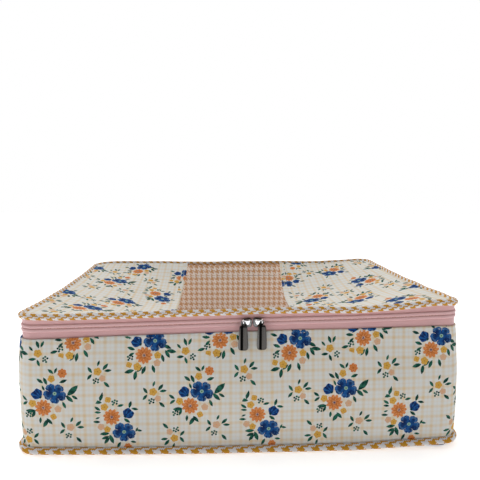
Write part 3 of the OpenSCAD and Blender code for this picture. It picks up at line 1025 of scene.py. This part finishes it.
def row_of_stitches(name, height, out, kind, material, body):
    """Stitches along the wall of the zipped sides."""
    start, end, reach = 1, WALL_RUN - 1, 1.2
    count = int((end - start) / kind[0])
    s = start + (np.arange(count) + 0.5) * (end - start) / count
    z = height(s)
    places = beside(s, out(s, z) if callable(out) else out, z)
    ways = directions(beside(s + reach, 0, height(s + reach)) - beside(s - reach, 0, height(s - reach)))
    stitches(name, places, ways, beside(s, 1, z) - beside(s, 0, z), kind, material, body)


row_of_stitches("gusset_topstitch", lambda s: top_line(s) - STITCH_DROP, lambda s, z: swell(s, z) - 0.28, TOPSTITCH,
                THREAD, "tub")
row_of_stitches("lower_tape_stitch", edge_z(123.2), -1.42, FINE_STITCH, PINK_THREAD, "tub")
row_of_stitches("upper_tape_stitch", edge_z(130.9, 0.25), -1.34, FINE_STITCH, PINK_THREAD, "lid")

for name, low, height, out, belly, print_at, material, thickness in (
    ("hinge", GUSSET_TOP + 0.15, 17.6, -0.5, 1.1, -1.5, PRINT, 0.7),
    ("hinge_lining", GUSSET_TOP - 1.2, 20.5, -LINING_IN, 0.6, 0.6, LINING, 0.5),
):
    levels = band_levels(16, low, low + height, (0.5, 1.0), out, belly, print_at)
    hinge = wall_band(f"{name}_cloth", BACK, levels, material, None, thickness)
    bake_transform(hinge)
    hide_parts("hinge_strip")


# -------------------- lid
def left_print(x, y):
    """The place on the printed cloth of a point on the lid's left part."""
    return x - 14.3, 125.0 - y


def right_print(x, y):
    """The same for the right part, cut the other way up."""
    return -79.3 - x, y + 42.5


def window_edge(side, y):
    """The sagging lid draws both hems a little to the left in the middle."""
    middle = np.sin(math.pi * front_share(np.asarray(y, float)))
    return side * WINDOW_HALF - (4.6 + 1.3 * side) * middle


# the hem's section: outwards from the window, up from the lid's surface
HEM_PROFILE = ((-0.2, -0.7), (-0.75, -0.2), (-0.8, 0.5), (-0.45, 1.2), (0.3, 1.5), (1.4, 1.55), (2.6, 1.4), (3.6, 1.45),
               (4.8, 1.55), (5.6, 1.5), (6.0, 1.2), (6.0, 0.9))
HEM_CLOTH = 0.3
HEM_STITCH_UP = 1.42


def hem_stitches(name, side, depth):
    def on_hem(y):
        return np.stack([xs, y, lid_at(xs, y) + HEM_STITCH_UP], 1)

    ys = np.arange(-depth + 4, depth - 4, TOPSTITCH[0])
    xs = window_edge(side, ys) + side * STITCH_DROP
    ways = directions(on_hem(ys + 1.2) - on_hem(ys))
    ups = np.cross(np.array([1.0, 0, 0]), ways)
    stitches(name, on_hem(ys), ways, ups, TOPSTITCH, THREAD, "lid")


for side, name, cloth in ((-1, "left", left_print), (1, "right", right_print)):
    for start, low, material, thickness, inset, node, flat in (
        ("lid_cloth_", 0.0, PRINT, LID_CLOTH, LID_INSET, "lid_panel_", (0.142, 0.302)),
        ("lid_lining_cloth_", -LID_LINING_DOWN, LINING, LINING_CLOTH, LID_LINING_INSET, "lid_lining_", (0.14, 0.3)),
    ):
        ends = [lambda y, side=side, inset=inset: side * lid_edge(y, inset), lambda y, side=side: window_edge(side, y)]
        panel = plan_sheet(start + name, *ends[::-side], low, material, "lid", thickness, inset=inset,
                           cloth=cloth if material is PRINT else None)
        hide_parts(node + name)

    # folded hem beside the window: a soft roll and a flat part held by stitches
    depth = HALF_D - 1.0
    ys = np.linspace(-depth, depth, 150)
    points = np.zeros((len(ys), len(HEM_PROFILE), 3))
    spots = np.zeros((len(ys), len(HEM_PROFILE), 2))
    for k, (dx, dz) in enumerate(HEM_PROFILE):
        xs = window_edge(side, ys) + side * dx
        lift = dz + (0.12 * ripple(ys, 0 * ys + dx, 22, 41) if 0 < k < 9 else 0)
        points[:, k] = np.stack([xs, ys, lid_at(xs, ys) + lift], 1)
        spots[:, k] = np.stack(cloth(window_edge(side, ys) - side * dx, ys), 1)
    hem = add_mesh(f"window_hem_cloth_{name}", points, grid_faces(*spots.shape[:2])[:, ::-side], PRINT, "lid", spots)
    thicken(hem, HEM_CLOTH)
    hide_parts(f"window_hem_{name}")
    hem_stitches(f"window_stitch_{name}", side, depth)


def film_height(x, y):
    inner = np.clip((1 - (x / FILM_HALF) ** 2) * (1 - (y / 147) ** 2) * 4, 0, 1)
    return lid_at(x, y) + inner * 0.5 * ripple(x, y, 60, 51)


ends = [lambda y, side=side: 0 * y + side * FILM_HALF for side in (-1, 1)]
window = plan_sheet("window_film_sheet", *ends, -FILM_DOWN, FILM, "lid", 0.4, columns=40, inset=1.0, height=film_height)
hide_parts("window_film")


# -------------------- sliders
def puffed(loop, profile):
    """Closed rounded plate: rings of a loop drawn in by each profile step's inset, at its height."""
    loop = np.array(loop, float)
    way = directions(np.roll(loop, -1, 0) - np.roll(loop, 1, 0))
    inward = np.stack([-way[:, 1], way[:, 0]], 1)
    centre = loop.mean(0)
    if np.sum(inward * (centre - loop)) < 0:
        inward = -inward
    points = []
    for inset, height in profile:
        points += [(x, height, z) for x, z in loop + inward * inset]
    points += [(centre[0], profile[end][1], centre[1]) for end in (0, -1)]
    n = len(loop)
    last = (len(profile) - 1) * n
    faces = list(grid_faces(len(profile), n, wrap_columns=True))
    for i in range(n):
        j = (i + 1) % n
        faces += [(last + n, j, i), (last + n + 1, last + i, last + j)]
    return points, faces


def join_parts(parts):
    points, faces = [], []
    for p, f in parts:
        faces += [tuple(k + len(points) for k in face) for face in f]
        points += list(map(tuple, p))
    return np.array(points, float), faces


def swept(path, sections):
    """A closed squarish bar along a path of x and y. Sections give its half sizes across and along z, and its z."""
    sides = 16
    path = np.array(path, float)
    points = []
    for k, (x, y) in enumerate(path):
        way = path[min(k + 1, len(path) - 1)] - path[max(k - 1, 0)]
        way /= np.linalg.norm(way)
        across, high, middle = sections[k]
        for j in range(sides):
            a = 2 * math.pi * j / sides
            c, d = (math.copysign(abs(value) ** 0.75, value) for value in (math.cos(a), math.sin(a)))
            points.append((x - way[1] * across * c, y + way[0] * across * c, middle + high * d))
    faces = list(grid_faces(len(path), sides, wrap_columns=True))
    faces += [tuple(range(sides))[::-1], tuple((len(path) - 1) * sides + j for j in range(sides))]
    return points, faces


def torus(rings, sides, radius, thick, wide):
    """Distances along a ring's axis and in its plane, for each point round it."""
    a = np.arange(rings)[:, None] * (2 * math.pi / rings)
    b = np.arange(sides)[None, :] * (2 * math.pi / sides)
    r = radius + thick * np.cos(b)
    return 0 * a + wide * np.sin(b), r * np.cos(a), r * np.sin(a)


def rounded(points, steps=3):
    """Corner-cut polygon."""
    loop = np.array(points, float)
    for _ in range(steps):
        ahead = np.roll(loop, -1, 0)
        loop = np.stack([0.75 * loop + 0.25 * ahead, 0.25 * loop + 0.75 * ahead], 1).reshape(-1, 2)
    return loop


def metal_piece(name, points, faces, material, body, cloth, node):
    """A closed piece whose faces are turned outwards."""
    obj = add_mesh(name, points, faces, material, body, cloth)
    work = bmesh.new()
    work.from_mesh(obj.data)
    bmesh.ops.recalc_face_normals(work, faces=work.faces)
    work.to_mesh(obj.data)
    work.free()
    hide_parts(node)


SLIDER_TILT = math.atan(FRONT_SLOPE)
PLATE_OUT = 0.05
ARCH_OUT = 4.15
ARCH_UP = 2.6
LINK_OUT = 3.2
LINK_DROP = 0.75
LINK_R = 2.0
LINK_ROD = 0.5
PULL_LENGTH = 26.0
PULL_HALF = 4.75
PULL_HALF_TOP = 3.8
PULL_HALF_THICK = 1.6
EYE_ROD = 0.62


def slider_shape():
    """The slider with its nose to the right: x along the zip, y outwards, z up."""
    n, h, t = 5.3, 4.75, 3.6
    half = [(n, h - 2.4), (n - 1.0, h - 0.6), (n - 3.0, h), (-0.5, h - 0.5), (-n + 1.5, t), (-n, t - 1.6)]
    loop = rounded([(n, -h + 2.4)] + half + [(x, -z) for x, z in half[:0:-1]])
    parts = []
    for y, profile in (
        (PLATE_OUT - 0.1, ((0.25, 0.0), (0.0, 0.22), (0.0, 0.75), (0.3, 1.08), (0.9, 1.24), (1.8, 1.3))),
        (PLATE_OUT - 4.5, ((1.2, 0.0), (0.4, 0.12), (0.0, 0.45), (0.0, 1.05), (0.3, 1.3))),
    ):
        parts.append(puffed(loop, [(inset, y + height) for inset, height in profile]))
    # the post that joins the two plates
    parts.append(puffed(rounded([(4.8, -0.4), (4.8, 0.4), (1.8, 0.4), (1.8, -0.4)], 2), ((0, -3.4), (0, 0.3))))
    # arch: broad over the nose, slim where the link hangs
    path, sections = [], []
    for u in np.linspace(0, 1, 25):
        broad = float(smoothstep(0.38, 0.62, u) * (1 - 0.35 * smoothstep(0.8, 1.0, u)))
        path.append((-4.55 + 7.9 * u, 1.0 + (ARCH_OUT - 1.0) * max(0, math.sin(math.pi * u)) ** 0.34))
        sections.append((0.52, 0.6 + 1.9 * broad, ARCH_UP - 1.5 * broad))
    parts.append(swept(path, sections))
    return join_parts(parts)


def pull_shape():
    """A long domed bar with a slim neck and an eye round the link: x across, y outwards, z up from the eye."""
    side = [(PULL_HALF_TOP, -3.0), (4.15, -8.0), (PULL_HALF, -PULL_LENGTH + PULL_HALF + 2)]
    loop = [(-2.6, -1.4), (2.6, -1.4)] + side
    for k in range(13):
        a = math.radians(-15 * k)
        c, d = math.cos(a), math.sin(a)
        loop.append((PULL_HALF * math.copysign(abs(c) ** 0.62, c), -PULL_LENGTH + 3.6 - 3.6 * abs(d) ** 0.62))
    loop += [(-x, z) for x, z in side[::-1]]
    angles = [math.pi * k / 8 for k in range(9)]
    bar = puffed(rounded(loop, 2), [(1.9 * (1 - math.sin(a)), -PULL_HALF_THICK * math.cos(a)) for a in angles])
    out, x, z = torus(36, 14, LINK_ROD + EYE_ROD, 0.5, EYE_ROD)
    eye = np.stack([x, out, z], -1).reshape(-1, 3)
    return join_parts([bar, (eye, grid_faces(36, 14, True, True))])


def slider(side, name, x_middle):
    """side 1 has its nose to the right, side -1 to the left."""
    points, faces = slider_shape()
    points[:, 0] *= side
    c, sn = math.cos(SLIDER_TILT), math.sin(SLIDER_TILT)
    x = points[:, 0] * c - points[:, 2] * sn
    z = points[:, 0] * sn + points[:, 2] * c
    chain_z = CHAIN_Z + FRONT_SLOPE * x_middle
    world = np.stack([x_middle + x, -HALF_D - points[:, 1], chain_z + z], 1)
    metal_piece(f"{name}_detailed", world, faces, CHROME, f"{name}_body", points[:, :2], name)

    rings, sides = 56, 16
    link_x = x_middle - side * LINK_OUT
    ring_y = -HALF_D - ARCH_OUT
    ring_z = chain_z + ARCH_UP - side * FRONT_SLOPE * LINK_OUT - LINK_DROP
    x, z, y = torus(rings, sides, LINK_R, LINK_ROD, LINK_ROD)
    # cloth values that put the whole ring in the painted lit part of the metal, with no painted shade
    painted_lit = np.full((rings * sides, 2), 4.0)
    world = np.stack([link_x + x, ring_y + y, ring_z + z], -1)
    metal_piece(f"{name}_ring", world, grid_faces(rings, sides, True, True), CHROME, f"{name}_link_body", painted_lit,
                f"{name}_link")

    points, faces = pull_shape()
    world = np.stack([link_x + points[:, 0], ring_y - points[:, 1], ring_z - LINK_R + points[:, 2]], 1)
    metal_piece(f"{name}_bar", world, faces, GUNMETAL, f"{name}_pull_body", points[:, [0, 2]], f"{name}_pull")


slider(1, "slider_left", 3.5)
slider(-1, "slider_right", 14.9)

# -------------------- the hidden board keeps its CAD shape
board_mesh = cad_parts["base_stiffener"].data
board_mesh.materials.clear()
board_mesh.materials.append(BOARD)

# -------------------- stage and light
FLOOR_HALF = 6.0
FLOOR_Z = -0.0005
FLOOR_GLOW = 0.52
s = Shade("floor")
pale = s.mix(s.mul(s.noise(s.on_object(), 30.0), 0.2), srgb(250, 250, 250), srgb(246, 246, 246))
floor_mesh = bpy.data.meshes.new("floor")
corners = ((-1, -1), (1, -1), (1, 1), (-1, 1))
floor_mesh.from_pydata([(x * FLOOR_HALF, y * FLOOR_HALF, FLOOR_Z) for x, y in corners], [], [(0, 1, 2, 3)])
floor_mesh.materials.append(s.finish(pale, 0.9, specular=0.1, glow=FLOOR_GLOW))
floor = show("floor", floor_mesh)
floor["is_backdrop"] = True

# the eye sees plain white all round, while the light comes mostly from behind
world = bpy.data.worlds.new("studio")
s = Shade("studio", world)
depth = s.node("ShaderNodeSeparateXYZ", s.node("ShaderNodeTexCoord").outputs["Generated"]).outputs[1]
seen = s.node("ShaderNodeLightPath").outputs["Is Camera Ray"]
strength = s.math("MAXIMUM", s.step(depth, -0.55, 0.05, 0.06, 1.0), seen)
background = s.node("ShaderNodeBackground", (1, 1, 1, 1), strength)
s.node("ShaderNodeOutputWorld", background.outputs[0])
bpy.context.scene.world = world

for name, place, target, size, watts in (
    ("overhead", (-0.5, 0.5, 2.2), (0, 0, 0), 1.8, 12),
    ("left", (-1.0, -0.9, 0.7), (0, -0.15, 0.1), 0.6, 1.1),
):
    data = bpy.data.lights.new(name, "AREA")
    data.shape = "DISK"
    data.size = size
    data.energy = watts
    light = show(name, data)
    light.location = place
    light.rotation_euler = (Vector(target) - Vector(place)).to_track_quat("-Z", "Y").to_euler()

bpy.context.scene.view_settings.view_transform = "Standard"

low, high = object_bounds()
